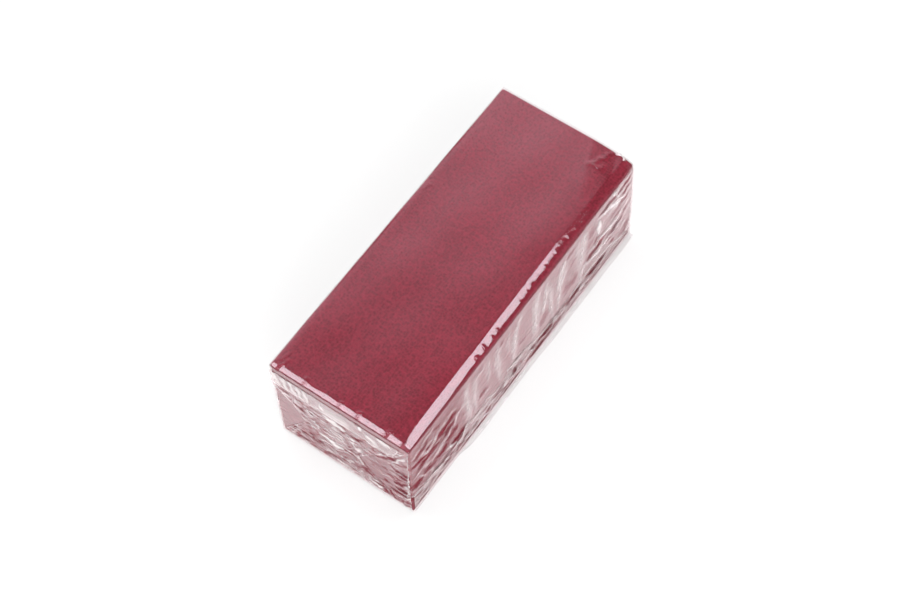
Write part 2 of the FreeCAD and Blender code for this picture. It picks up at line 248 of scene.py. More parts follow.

# Film by kind: stretch of its crinkle along x, y and z, grain and relief in millimetres, most haze, painted
# sheen at which the haze begins, mottling of the painted sheen, and the tint of what shows through. The
# lapped film's darker tint stands for its doubled layers and partly for painted shade under the lap and fin.
FILM_KINDS = {
    "tight": ((0.5, 0.5, 1.0), 7.0, 0.015, 0.95, 0.0, 0.0, "#fefcfc"),
    "slack": ((0.6, 0.6, 1.0), 3.2, 0.05, 0.95, 0.0, 0.04, "#fefcfc"),
    "creased": ((1.0, 0.35, 1.0), 1.7, 0.12, 0.9, -0.05, 0.5, "#fefcfc"),
    "lapped": ((0.12, 1.0, 1.0), 1.3, 0.06, 0.85, 0.0, 0.3, "#f2efef"),
}


def linear(code):
    """A colour for a shader from an sRGB hex code."""
    channels = [int(code[place:place + 2], 16) / 255 for place in (1, 3, 5)]
    return [c / 12.92 if c <= 0.04045 else ((c + 0.055) / 1.055) ** 2.4 for c in channels] + [1.0]


def add(tree, kind, settings=None, **inputs):
    """A shader node of that kind with its options; inputs are values, or the sockets or nodes they come from.

    An input goes by its own name, or by i and its number."""
    node = tree.nodes.new("ShaderNode" + kind)
    for key, value in (settings or {}).items():
        setattr(node, key, value)
    for key, value in inputs.items():
        socket = node.inputs[int(key[1:])] if key[1:].isdigit() else node.inputs[key.replace("_", " ")]
        if isinstance(value, bpy.types.Node):
            value = value.outputs[0]
        if isinstance(value, bpy.types.NodeSocket):
            tree.links.new(value, socket)
        else:
            socket.default_value = value
    return node


def new_material(name):
    """An empty material and its node tree with an output."""
    material = bpy.data.materials.new(name)
    material.use_nodes = True
    material.node_tree.nodes.clear()
    return material, material.node_tree, material.node_tree.nodes.new("ShaderNodeOutputMaterial")


def tissue_paper(look):
    """Two-ply dyed tissue, creped and micro-embossed: matt and soft, with small dimples; painted shade
    darkens the colour in each dimple and painted light brightens it between them.
    """
    # Real dimples lie about 1 mm apart and real fibres are finer than 0.05 mm. Both are too fine to show,
    # so both are drawn coarser.
    material, tree, output = new_material("dyed_tissue_paper")
    place = add(tree, "TexCoord").outputs["Object"]
    dots = add(tree, "TexVoronoi", {"feature": "SMOOTH_F1"}, Vector=place,
               Scale=1 / look.emboss_pitch, Smoothness=0.6, Randomness=0.55)
    fibres = add(tree, "TexNoise", Vector=place, Scale=1 / (FIBRE_PITCH * MM), Detail=3.0, Roughness=0.6)
    dye = add(tree, "TexNoise", Vector=place, Scale=1 / (DYE_PITCH * MM), Detail=2.0)
    # Painted shade and light: the dye is darker in each dimple and lighter on the paper between them, beside
    # the bump.
    shade = add(tree, "MapRange", i0=dots.outputs["Distance"], i1=0.1, i2=0.75, i3=0.62, i4=1.38)
    cloud = add(tree, "MapRange", i0=dye.outputs["Fac"], i1=0.3, i2=0.7, i3=0.95, i4=1.05)
    level = add(tree, "Math", {"operation": "MULTIPLY"}, i0=shade, i1=cloud)
    tint = add(tree, "Mix", {"data_type": "RGBA", "blend_type": "MIX"}, i0=fibres.outputs["Fac"],
               i6=linear(look.dye_dark), i7=linear(look.dye_light))
    scaled = add(tree, "VectorMath", {"operation": "SCALE"}, i0=tint.outputs[2], i3=level)
    relief = add(tree, "Math", {"operation": "MULTIPLY_ADD"}, i0=fibres.outputs["Fac"],
                 i1=0.35, i2=dots.outputs["Distance"])
    bump = add(tree, "Bump", Height=relief, Strength=0.8, Distance=EMBOSS_DEPTH * MM)
    paper = add(tree, "BsdfPrincipled", Base_Color=scaled, Roughness=0.92, IOR=1.46,
                Specular_IOR_Level=0.25, Sheen_Weight=0.15, Sheen_Roughness=0.6,
                Normal=bump.outputs["Normal"])
    tree.links.new(paper.outputs[0], output.inputs["Surface"])
    return material


def clear_film(look, kind):
    """Cast polypropylene film: clear head on, mirroring the room towards a glancing view.

    Where the painted sheen along its folds is high it looks milky and mirrors fully: partly the haze of film
    gathered in layers, partly painted highlights. Where it is low the mirroring is painted off, a painted
    dark through which the paper shows clear."""
    stretch, grain, relief, haze, haze_from, mottle, tint = FILM_KINDS[kind]
    material, tree, output = new_material("clear_polypropylene_film_" + kind)
    place = add(tree, "TexCoord").outputs["Object"]
    folds = add(tree, "Attribute", {"attribute_name": "haze_and_painted_sheen"}).outputs["Fac"]
    stretched = add(tree, "Mapping", {"vector_type": "POINT"}, Vector=place, Scale=stretch)
    crinkle = add(tree, "TexNoise", Vector=stretched, Scale=1 / (grain * MM),
                  Detail=1.5, Roughness=0.5, Distortion=0.6)
    crease = add(tree, "TexVoronoi", {"feature": "DISTANCE_TO_EDGE"},
                 Vector=stretched, Scale=1 / (1.6 * grain * MM))
    ridges = add(tree, "MapRange", i0=crease.outputs["Distance"], i1=0.0, i2=0.35, i3=0.5, i4=0.0)
    wrinkled = add(tree, "Math", {"operation": "ADD"}, i0=crinkle.outputs["Fac"], i1=ridges)
    bump = add(tree, "Bump", Height=wrinkled, Strength=1.0, Distance=relief * MM)
    # Mottling: a random speckle in the painted sheen, and darker lines painted along the crinkle's creases.
    speckle = add(tree, "MapRange", i0=crinkle.outputs["Fac"], i1=0.34, i2=0.66, i3=-mottle, i4=mottle)
    crackle = add(tree, "MapRange", i0=crease.outputs["Distance"], i1=0.05, i2=0.22, i3=-1.6 * mottle, i4=0.0)
    mottled = add(tree, "Math", {"operation": "ADD"}, i0=speckle, i1=crackle)
    haze_and_painted_sheen = add(tree, "Math", {"operation": "ADD"}, i0=folds, i1=mottled).outputs[0]
    weight = add(tree, "LayerWeight", Blend=0.5, Normal=bump.outputs["Normal"])
    steep = add(tree, "Math", {"operation": "POWER"}, i0=weight.outputs["Facing"], i1=look.glance_power)
    mirrored = add(tree, "Math", {"operation": "MULTIPLY_ADD"}, i0=steep,
                   i1=1 - look.head_on, i2=look.head_on)
    # Painted dark: where the painted sheen falls below 0 the mirroring is cut down to a twenty-fifth.
    tight = add(tree, "MapRange", i0=haze_and_painted_sheen, i1=-0.9, i2=0.0, i3=0.04, i4=1.0)
    shine = add(tree, "Math", {"operation": "MULTIPLY"}, i0=mirrored, i1=tight)
    # Milky haze where the painted sheen is high: partly gathered film, partly a painted highlight.
    milky = add(tree, "MapRange", i0=haze_and_painted_sheen, i1=haze_from, i2=1.4, i3=0.0, i4=haze)
    slant = add(tree, "MapRange", i0=weight.outputs["Facing"], i1=0.15, i2=0.5)
    lilac = add(tree, "Mix", {"data_type": "RGBA"}, i0=slant,
                i6=linear(look.sheen_head_on), i7=linear(look.sheen_glancing))
    clear = add(tree, "BsdfTransparent", Color=linear(tint))
    scatter = add(tree, "BsdfDiffuse", Color=linear(look.milk), Normal=bump.outputs["Normal"])
    body = add(tree, "MixShader", i0=milky, i1=clear, i2=scatter)
    gloss = add(tree, "BsdfGlossy", Color=lilac.outputs[2], Roughness=look.roughness,
                Normal=bump.outputs["Normal"])
    mixed = add(tree, "MixShader", i0=shine, i1=body, i2=gloss)
    tree.links.new(mixed.outputs[0], output.inputs["Surface"])
    return material


# The stack's give: its top edges sag under the tight film, and one corner is pushed in

# Millimetres: places along x, how far the edge sags there, and how far in from the edge that reaches.
FRONT_SAG = (-100, -88, -50, -20, 18, 37, 60, 100), (0.2, 0.95, 1.2, 1.6, 1.9, 2.2, 1.4, 1.1), 6.6
WIDE_SAG = (-100, -60, 0, 60, 100), (0.15, 0.35, 0.55, 0.7, 0.7), 22
BACK_SAG, BACK_REACH = 0.12, 4.5
NEAR_SAG, NEAR_REACH, NEAR_WAVER = 0.42, 3.2, 0.4
CORNER_X, CORNER_Y = 84, -22                 # the top falls away beyond a line through this point
CORNER_ACROSS, CORNER_REACH, CORNER_FALL = (0.34, 0.94), 14, 0.07
SAG_POWER = 8                                # how soon the sag dies out down the film
DENT_REACH = 5.0
DENT_PUSH = (-0.5, 1.2, -0.4)
TAPER = 0.012                                # share by which the far end's top is narrower


def eased(distance, reach):
    """1 at an edge, and down to 0 at that reach from it."""
    return np.clip(1 - distance / reach, 0, 1) ** 2


def sag(x, y):
    """How far the stack's top lies lower at (x, y), in millimetres."""
    places, depths, reach = FRONT_SAG
    depth = np.interp(x, places, depths)
    depth = depth * (1 + 0.05 * noise_along(x, 7, 6))
    depth = depth * (1 + 0.02 * noise_along(x, 1.6, 8))
    total = depth * eased(y + HALF_WIDTH, reach)
    places, depths, reach = WIDE_SAG
    total += np.interp(x, places, depths) * eased(y + HALF_WIDTH, reach)
    total += BACK_SAG * eased(HALF_WIDTH - y, BACK_REACH)
    total += NEAR_SAG * eased(x + HALF_LENGTH, NEAR_REACH + NEAR_WAVER * noise_along(y, 14, 7))
    beyond = CORNER_ACROSS[0] * (x - CORNER_X) - (y - CORNER_Y) * CORNER_ACROSS[1]
    total += CORNER_FALL * np.clip(beyond, 0, CORNER_REACH) * np.clip((x - 62) / 22, 0, 1)
    return total


def settled(points):
    """Places in metres for points in millimetres about the middle of a stack that isn't quite true."""
    x, y, z = points.T
    height = np.clip(z / FILM_TOP, 0, 1)
    wide = y * (1 - TAPER * (x / HALF_LENGTH) * height)
    away = (x - HALF_LENGTH) ** 2 + (y + HALF_WIDTH) ** 2 + (z - FILM_TOP) ** 2
    dent = np.exp(-away / DENT_REACH ** 2)
    push_x, push_y, push_z = (push * dent for push in DENT_PUSH)
    return np.stack([x + push_x, wide + push_y + MIDDLE_Y, z + push_z], 1) * MM


# Napkins, in millimetres: thickness of a layer, air in a fold, and steps of the free edges

LAYER = 0.155
FOLD_GAP = 0.05
ARM = 2 * LAYER
LEAF = 2 * ARM + FOLD_GAP
FREE_EDGE_STEP = 0.8
OPEN_END_STEP = 0.6
NAPKIN_HALF_LENGTH, NAPKIN_HALF_WIDTH = 100.0, 41.25
SHEET_WAVE, SHEET_GRAIN = 0.12, (60, 45)     # how the sheets wave in the middle of the stack
STAGGER, STAGGER_GRAIN = 0.14, (40, 5)       # how their long edges stand out of line


def spaced(low, high, fine, coarse, margin):
    """Stations from low to high, close together near both ends and wider apart between."""
    edge = np.arange(0, margin, fine)
    inner = np.linspace(low + margin, high - margin, max(2, int((high - low - 2 * margin) / coarse)))
    return np.concatenate([low + edge, inner, (high - edge)[::-1]])


def rounded_nose(y, s, radius, side, steps):
    """Points of a fold's half-round nose, from its outer face to its inner one."""
    angles = np.linspace(math.pi / 2, -math.pi / 2, steps)
    return np.stack([y + side * radius * np.cos(angles), s + radius * np.sin(angles)], 1)


def leaf_section(half_width):
    """Outline of one leaf across the napkin: two arms that a lengthwise fold joins."""
    free = half_width - FREE_EDGE_STEP
    inner = spaced(-half_width + LEAF / 2 + 0.1, free, fine=1.0, coarse=7.0, margin=6.0)[::-1]
    outer = spaced(-half_width + LEAF / 2 + 0.1, half_width - ARM / 2 - 0.1, fine=1.0, coarse=7.0, margin=8.0)
    parts = [np.stack([inner, np.zeros_like(inner)], 1),
             rounded_nose(-half_width + LEAF / 2, LEAF / 2, LEAF / 2, -1, 7)[::-1],
             np.stack([outer, np.full_like(outer, LEAF)], 1),
             rounded_nose(half_width - ARM / 2, LEAF - ARM / 2, ARM / 2, 1, 6),
             np.array([(-half_width + ARM, ARM + FOLD_GAP), (-half_width + ARM, ARM), (free, ARM)])]
    return np.concatenate(parts)


def napkin_grid(half_length, half_width):
    """Rings of points along a napkin: lower leaf, cross fold and upper leaf."""
    section = leaf_section(half_width)
    y, out = section[:, 0], section[:, 1] + FOLD_GAP / 2
    fold_x = -half_length + FOLD_GAP / 2 + LEAF
    stations = spaced(fold_x, half_length, fine=1.2, coarse=7.0, margin=6.0)
    rings = [np.stack([np.full_like(y, x), y, -out], 1) for x in stations[::-1]]
    for angle in np.radians(np.linspace(262, 98, 8)):
        rings.append(np.stack([fold_x + out * math.cos(angle), y, out * math.sin(angle)], 1))
    rings += [np.stack([np.full_like(y, min(x, half_length - OPEN_END_STEP)), y, out], 1)
              for x in stations]
    return np.array(rings)


def napkin_pieces(look):
    """Each napkin as its own piece, where its solid lies, sagging with the stack's top edges."""
    paper = tissue_paper(look)
    pattern = napkin_grid(NAPKIN_HALF_LENGTH, NAPKIN_HALF_WIDTH)
    rows, columns = pattern.shape[:2]
    index = np.arange(rows * columns).reshape(rows, columns)
    ahead = np.roll(index, -1, axis=1)
    sides = np.stack([index[:-1], ahead[:-1], ahead[1:], index[1:]], -1).reshape(-1, 4).tolist()
    faces = sides + [index[0][::-1].tolist(), index[-1].tolist()]
    for number, name in enumerate(NAPKINS):
        low, high = (np.array(corner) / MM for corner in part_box(name))
        middle = (low + high) / 2 - (0, MIDDLE_Y, 0)
        flat = pattern.reshape(-1, 3) + middle
        share = np.clip(flat[:, 2] / STACK_TOP, 0, 1)
        wave = smooth_noise(flat[:, :2], SHEET_GRAIN, 5) * SHEET_WAVE
        flat[:, 2] += share * (PAPER_TOP - STACK_TOP) + share * (1 - share) * 4 * wave
        flat[:, 2] -= sag(flat[:, 0], flat[:, 1]) * share ** 6
        line = np.stack([flat[:, 0], np.full(len(flat), number * 3.7)], 1)
        edge = smooth_noise(line, STAGGER_GRAIN, 8)
        flat[:, 1] += STAGGER * edge * np.abs(flat[:, 1]) / NAPKIN_HALF_WIDTH
        mesh = bpy.data.meshes.new(name + "_paper")
        mesh.from_pydata(settled(flat).tolist(), [], faces)
        mesh.shade_smooth()
        mesh.set_sharp_from_angle(angle=math.radians(50))
        mesh.materials.append(paper)
        piece = bpy.data.objects.new(name + "_paper", mesh)
        bpy.context.scene.collection.objects.link(piece)
        placed(piece, name)


# Film: folds on the front, as kind, strength, width across and the points x,z of the path

KINDS = {"light": light, "dark": dark, "rib": rib}


def fold_rows(table):
    """Rows of kind, strength, width and path from a table's lines."""
    rows = []
    for line in table.split("\n")[1:-1]:
        kind, strength, width, *points = line.split()
        path = [tuple(float(number) for number in point.split(",")) for point in points]
        rows.append((KINDS[kind], float(strength), float(width), path))
    return rows


FRONT_FOLDS = fold_rows("""
light 0.95 2.6 -99,60 -93,61 -87,65 -80,65
light 1 3 -99,53 -92,52.5 -84,48.5 -79,53 -74,56 -66,57 -62,55
light 0.7 2 -93,54 -86,55.5 -80,56
light 1 2.4 -97,37 -91,38 -86,35
light 1 3.6 -88,34 -80,34 -72,37 -65,42 -61,47 -57,49 -54,47.5
light 0.7 1.6 -96,34 -92,31 -86,25 -80,20
light 1 3 -74,21 -69,24 -65,20 -63,17
light 0.8 2.2 -45,57 -41,59.5 -37,60
light 0.8 2.4 -42,33 -37,31 -33,30
dark 1 3.2 -101,52 -95,50 -88,48.5 -83,47.5
dark 1 4.6 -95,41.5 -90,44 -85,44.8 -80,43.5 -76,41
dark 1 4.2 -101,32 -96,27.5 -91,29.5
dark 1 4.4 -91,31 -85,29.8 -78,28.8 -68,29.5
dark 0.75 5 -72,33 -66,34 -61,36
dark 0.9 4.6 -82,51 -74,50 -66,52 -60,51
dark 0.8 5 -74,42 -68,45 -63,47
dark 1 4.6 -68,25.5 -63,22.5 -58,23 -54,25
dark 0.6 3.4 -98,58 -91,58 -84,61
dark 0.36 4.4 -44,31 -41,35 -37,36
dark 0.5 3 -25,62 -20,63
rib 1 3 -53.3,68 -53.2,50 -51.5,35 -50.5,21
rib 0.8 2.8 -46,64 -46,45 -45.4,22
rib 0.55 2.2 -34,64 -34,50 -34,38
rib 0.8 2.8 -25,66 -26,50 -24.5,34 -23,20
rib 1 3 -3,68 -7,60 -10,50 -11,38 -11.3,24
rib 0.45 2.2 -15,64 -17,52 -16,40
dark 0.3 4 -8,36 -4,36 0,35
rib 1 3.8 11,70 9,55 8.5,38 8,19
rib 0.95 2.2 17,66 18,55 17,45 14,34
rib 0.8 2.5 21,58 22,45 23,30 25,17
rib 1 2.5 37,66 34,60 30,48 27,37
rib 0.95 2.5 37,56 33,45 30,34 29,18
rib 0.55 2.5 47,66 46,56 47,46
rib 0.95 3.8 52,68 53,56 51,44 49,30
rib 1 2.5 55,34 52,27 50,18
dark 0.45 4 36,62 41,61.5 44,64
dark 0.42 9 10,28 16,30 20,34
dark 0.48 10 33,30 41,31 50,29
dark 0.45 10 55,54 59,56 65,54
dark 0.36 9 55,45 59,46 63,46
light 1 3.4 57,36 66,37.5 74,37 80,34.5 87,37 97,42
light 1 4.6 66,60 70,60 77,57 84,53 90,50 97,50
light 1 3 67,57 67,50 67,43
light 1 4 54,28 60,29 66,27 72,30
light 1 3 62,21 68,24 74,27 80,28
light 1 3.4 80,26 86,28 92,30
light 0.8 1.8 81,72 81,66 83,61 88,58 93,56
dark 1 3.8 55,34 62,33 70,35 76,34.5
dark 0.6 5 73,31 80,30.5 87,33 97,38
dark 0.45 6 75,47 82,46 90,45 97,45
dark 1 3.2 86,49 91,48.5 97,50
dark 0.9 3 88,55 92,56 97,57
dark 0.75 3 66,63 75,63.5 85,62 90,62.5
dark 0.9 3 88,62 92,63 97,65
dark 0.75 3 90,69 97,70
dark 0.6 6 88,12 92,14 95,18 98,21
dark 0.6 3 78,19 84,19
""")


# FRONT_HAZE: haze and painted sheen by place along x, clearer at the near end and paler towards the far end.
FRONT_HAZE = (-100, -62, -50, 20, 100), (-0.25, -0.25, 0.0, 0.1, 0.18)      # places along x, gathering


def made_folds(rows):
    """Folds from rows of kind, strength, width and path."""
    return [kind(strength, width, path) for kind, strength, width, path in rows]


def front_relief(x, z):
    """Relief of the film on the front side, in millimetres, and its haze and painted sheen."""
    folds = made_folds(FRONT_FOLDS)
    folds += scattered_folds(12, (-94, 20), (-60, 66), 14, 0.5, 2.6, 25, 22)
    folds += scattered_folds(12, (62, 20), (94, 66), 14, 0.5, 2.6, 25, 23)
    folds += scattered_folds(10, (-60, 24), (60, 66), 9, 0.2, 2.4, 70, 24)
    relief, haze_and_sheen_paint = folded_surface(x, z, folds, 31)
    haze_and_sheen_paint += np.interp(x, *FRONT_HAZE)
    lap_x, lap_z = zip(*LAP_EDGE)
    above = z - np.interp(x, lap_x, lap_z)
    covered = np.clip((-0.8 - above) / 0.8, 0, 1)
    # Painted highlight: a pale line on the film just above the lap's edge.
    haze_and_sheen_paint += 1.1 * np.clip(1 - np.abs(above - 0.2) / 0.9, 0, 1)
    return relief, haze_and_sheen_paint * (1 - covered) - CLING * covered


def back_relief(x, z):
    """Relief of the film on the back side: the same kinds of fold, fewer of them."""
    rows = [(kind, strength * 0.85, width, [(4 - 0.97 * u, 0.95 * v + 2) for u, v in path])
            for kind, strength, width, path in FRONT_FOLDS[1::2]]
    folds = made_folds(rows) + scattered_folds(30, (-95, 5), (95, 20), 14, 0.6, 2.6, 14, 41)
    return folded_surface(x, z, folds, 42)


def top_relief(x, y):
    """Relief of the film on the top and its painted sheen: tight, but for a few creases at its rim, and
    painted marks at the front rim, the near end and the pushed-in corner.
    """
    points = np.stack([x.ravel(), y.ravel()], 1)
    calm = 0.05 * smooth_noise(points, (60, 45), 51).reshape(x.shape)
    edge = -HALF_WIDTH
    # Nicks in the front rim, each a painted dark notch in its pale band.
    folds = [(0.30, 0, 1.0, 1.2, -0.4, 1.6, ((place, edge + 0.6), (place + 1.5, edge + 4.4)))
             for place in (-40.5, -33.5, -27, -22.5)]
    folds += [(0.035, 0, 2.0, 1.0, 0, 1, path) for path in (
        ((-98, 41), (-93, 38), (-88, 36)), ((-97, 37), (-91, 34)), ((24, 40), (29, 37.5), (31, 36)),
        ((31, 41), (34, 38.5)))]
    # Painted dark along the front rim's far part, with painted highlights on folds at the pushed-in corner
    # and along the far edge by it.
    folds += [(0.0, 0, 1.0, 1.0, -0.4, 8.0, ((62, -33), (84, -29), (108, -33))),
              (0.10, 0, 2.5, 1.6, 0.3, 2.0, ((86, -24), (86.5, -27), (87, -31))),
              (0.10, 0, 1.5, 1.5, 0.10, 1.2, ((83, -21.5), (92, -26), (101, -31))),
              (0.25, 0, 1.4, 1.0, 0.9, 1.6, ((99.8, -30), (99.6, -34), (99.2, -38)))]
    # Nicks at the near end's rim, each a painted dark notch.
    folds += [(0.25, 0, 0.8, 1.0, -0.9, 1.5, ((-101, y), (-98.4, y - 0.3), (-95.8, y - 1.2)))
              for y in (37, 22, 1, -10, -27)]
    height, haze_and_sheen_paint = folded_surface(x, y, folds, 52)
    return calm + height, haze_and_sheen_paint


# Steps of the mesh: along the pack, and across its foot, its front, its back, an end's layer and the seam.
LENGTH_STEPS = 330
FOOT_STEPS, FRONT_STEPS, BACK_STEPS = 8, 118, 58
END_STEPS, END_ROW = 132, 0.6
SEAM_STEPS = 52
FOOT_FADE = 3.0            # relief dies out over this height above the floor


def sleeve_section():
    """Stations round the wrap: y, z, outward y, outward z, and the wall each lies on."""
    rows = []

    def straight(wall, start, end, stations, normal):
        for share in stations:
            point = np.array(start) + (np.array(end) - start) * share
            rows.append((*point, *normal, wall))

    def corner(wall, centre, radius, begin, finish, steps):
        for angle in np.radians(np.linspace(begin, finish, steps)):
            normal = (math.cos(angle), math.sin(angle))
            rows.append((centre[0] + radius * normal[0], centre[1] + radius * normal[1], *normal, wall))

    w, t, front, back, f = HALF_WIDTH, FILM_TOP, FRONT_RADIUS, BACK_RADIUS, FOOT_RADIUS
    even, upright, slack = (np.linspace(0, 1, steps)[1:-1] for steps in (FOOT_STEPS, FRONT_STEPS, BACK_STEPS))
    across = 2 * w - front - back
    flat = (spaced(0, across, fine=0.6, coarse=1.1, margin=7.0) / across)[1:-1]
    straight("foot", (w - f, 0), (-w + f, 0), even, (0, -1))
    corner("front", (-w + f, f), f, 270, 180, 4)
    straight("front", (-w, f), (-w, t - front), upright, (-1, 0))
    corner("front", (-w + front, t - front), front, 180, 90, 10)
    straight("top", (-w + front, t), (w - back, t), flat, (0, 1))
    corner("back", (w - back, t - back), back, 90, 0, 6)
    straight("back", (w, t - back), (w, f), slack, (1, 0))
    corner("back", (w - f, f), f, 0, -90, 4)
    values = np.array([row[:4] for row in rows])
    walls = np.array([row[4] for row in rows])
    return values, walls


def film_sleeve():
    """The wrap round the four long sides, turned in over both ends."""
    section, walls = sleeve_section()
    y, z, ny, nz = section.T
    near, far = -HALF_LENGTH + NEAR_RADIUS, HALF_LENGTH - FAR_RADIUS
    stations = np.linspace(near, far, LENGTH_STEPS)
    turns = np.radians([18, 36, 54, 72, 90])
    still = np.zeros(len(stations))
    x_all = np.concatenate([near - NEAR_RADIUS * np.sin(turns[::-1]), stations,
                            far + FAR_RADIUS * np.sin(turns)])
    inset = np.concatenate([NEAR_RADIUS * (1 - np.cos(turns[::-1])), still, FAR_RADIUS * (1 - np.cos(turns))])
    lean = np.concatenate([-np.sin(turns[::-1]), still, np.sin(turns)])
    clamped = np.clip(x_all, near, far)
    grid_x, grid_y = np.meshgrid(clamped, y, indexing="ij")
    grid_z = np.meshgrid(clamped, z, indexing="ij")[1]
    relief, haze_and_sheen_paint = np.zeros_like(grid_x), np.zeros_like(grid_x)
    for wall, function, across in (("front", front_relief, grid_z), ("back", back_relief, grid_z),
                                   ("top", top_relief, grid_y)):
        chosen = walls == wall
        relief[:, chosen], haze_and_sheen_paint[:, chosen] = function(grid_x[:, chosen], across[:, chosen])
    upright = walls != "top"
    foot = np.clip(grid_z / FOOT_FADE, 0, 1)
    rim = np.clip((FILM_TOP - 1.0 - grid_z) / 2.0, 0, 1)
    relief[:, upright] *= (foot * (0.15 + 0.85 * rim))[:, upright]
    haze_and_sheen_paint[:, upright] *= rim[:, upright]
    push = relief * np.sqrt(1 - lean ** 2)[:, None] - inset[:, None]
    points = np.stack([x_all[:, None] + relief * lean[:, None],
                       grid_y + ny * push,
                       grid_z + nz * push], -1)
    points[..., 2] -= sag(grid_x, grid_y) * np.clip(grid_z / FILM_TOP, 0, 1) ** SAG_POWER
    sleeve = grid_object("film_sleeve", points, haze_and_sheen_paint, True, lambda p: p - (0, 0, FILM_TOP / 2))
    centre_z = np.array([face.center[2] for face in sleeve.data.polygons]) / MM
    normal_z = np.array([face.normal[2] for face in sleeve.data.polygons])
    sides = (np.abs(normal_z) < 0.5) & (centre_z < FILM_TOP - 2.5)
    sleeve.data.polygons.foreach_set("material_index", sides.astype(np.int32))
    return sleeve


# Film at an end, in y and z; the near end is drawn, and the far end is the same with other seeds

TUCK_FOLDS = fold_rows("""
dark 1 2 -43,42.5 -38,41 -32,41.5
dark 1 1.9 -43,35.5 -38,37 -32,37
dark 1 2 -43,32 -36,27.5 -29,24.5
dark 1 1.8 -42,22 -36,20.5 -30,20
dark 0.9 1.8 -42,18 -35,15 -29,15.5
dark 1 2.4 -27,15 -29,9 -33,1
dark 0.8 1.6 -43,13 -38,9 -34,4
dark 0.8 1.8 -43,53 -36,51 -31,48
dark 0.8 1.6 -36,58 -32,53 -27,47.5 -20,43 -17,39
light 0.9 1.4 -43,39 -37,38.8 -31,39
light 0.9 1.5 -43,29 -37,24.5 -30,22
light 0.9 1.4 -42,20 -36,18 -30,17.6
light 0.9 1.4 -42,15.5 -36,12 -31,9
light 0.9 1.8 -30,44 -34,52 -40,62
light 0.95 1.6 -36,2 -39.5,20 -41,40 -42,66
light 0.4 1.4 41.5,64 41.8,40 41,20 42,4
dark 0.45 1.6 -19,33 -22,36 -25,33 -28,35.5 -31,33.5
dark 0.45 1.4 -20,30 -23,32.5 -26,30 -29,32.5
dark 0.9 2 -15,35.5 -18,31 -21,26
""")
LID_FOLDS = fold_rows("""
dark 0.6 1.6 43,55.2 41,54.3
dark 0.6 1.6 37,56.2 35.4,55.4
dark 0.6 1.6 33,57 31.3,56
dark 0.6 1.6 28,57 26.4,56
dark 0.6 1.6 22.6,57 20.8,55.5
dark 0.6 1.6 17,57 15,55.6
dark 0.5 1.4 12,56 10.6,55
dark 0.7 2 -5,52.5 -7.4,52
dark 0.6 1.6 -12,51.5 -14,51
dark 0.7 2.2 -16.5,51 -22,53
light 1.6 2.2 10,51 3,50.5 -4,49.3
light 0.3 12 12,40 2,40 -5,38
dark 0.6 2 17,43 14.5,43 12,42.8
dark 0.8 2.4 -8.5,31.5 -9.8,30.5 -11,31
dark 0.8 2.4 -13.5,35 -15.5,33.2 -17.5,33
dark 0.8 2.2 -13.5,28.8 -16.5,28
dark 0.6 2 -10,25 -13,23.5
dark 0.6 2 -6,40 -6.6,38 -7.4,36.5
dark 0.6 1.8 -13,41.5 -15,41
dark 0.7 2.2 -16,40 -19,43 -23,46
light 0.55 1.4 -12,44 -11,38 -9,33
light 0.55 1.4 -6,47 -7,42 -8,36
light 0.55 1.6 20,42 17,36 15,30
light 0.55 1.2 24,50 20,45 17,40
""")
BOTTOM_FLAP_FOLDS = fold_rows("""
dark 0.7 1.8 5,13.2 0,12.8 -5,13.2
dark 0.4 1.6 5,17.4 -2,17.2 -8,17.6
dark 0.6 1.8 20,8.2 14,7.6 8,8.4
dark 0.6 2.2 32,6 29,5.5
dark 0.6 2.2 27.5,6.5 25,5
dark 0.5 2 21,16 18,14 16,13.5
dark 0.5 2 24,22 18,17 16,16
dark 0.5 1.8 11,17 9,15
dark 0.5 1.8 -6,21 -9,18
dark 0.5 1.8 -1,8 -9,7.4
dark 0.5 1.8 -17,17 -21,18
dark 1.2 2 40,0.8 10,1 0,1 -14,0.8 -34,0.6
light 1.6 2.4 16,27 7,25.7 -1,24.2
light 0.65 1.4 4,15.3 -2,15.2 -8,15.5
light 0.3 8 14,20 0,19 -12,16
light 0.4 4 24,8 4,4.5 -18,5
light 0.75 1.8 10,6.5 0,6.4 -8,6.2
light 0.75 1.8 -8,9.5 -16,9 -24,6.5
light 0.65 1.6 32,3 22,3.6 12,3.2
light 0.65 1.4 24,26 16,26.4 12,27
light 0.55 1.2 -1,34 -8,27 -14,20
light 0.55 1.4 16,22 8,21 2,21.5
light 0.75 2.2 2,10.6 -6,10.5 -16,11.5 -20,12.5
light 0.95 2.4 -17,12 -22,6 -27,1
""")
STRIP_FOLDS = [(light, 0.65, 2.2, ((top, 67), (top - 1.5, 60), (foot, 54.4)))
               for top, foot in ((39, 34.5), (34.5, 30), (30, 26), (25.5, 22.5), (21.5, 19.5), (40.8, 39.5))]
STRIP_FOLDS += [(dark, 0.8, 1.8, ((foot + 3.2, 60), (foot + 1.2, 55)))
                for foot in (35.8, 31.6, 27.6, 23.6, 16)]
STRIP_FOLDS += fold_rows("""
light 0.5 9 14,57 4,57.5 -8,58.5
light 0.8 3 -14,62 -24,56
light 0.7 3.4 -22,66 -32,63
dark 0.4 2.4 -8,56 -13,60 -18,62.5
light 0.95 1.6 -10.6,72 -12,67 -13,62
light 0.6 1.4 11.5,66 11,56
""")

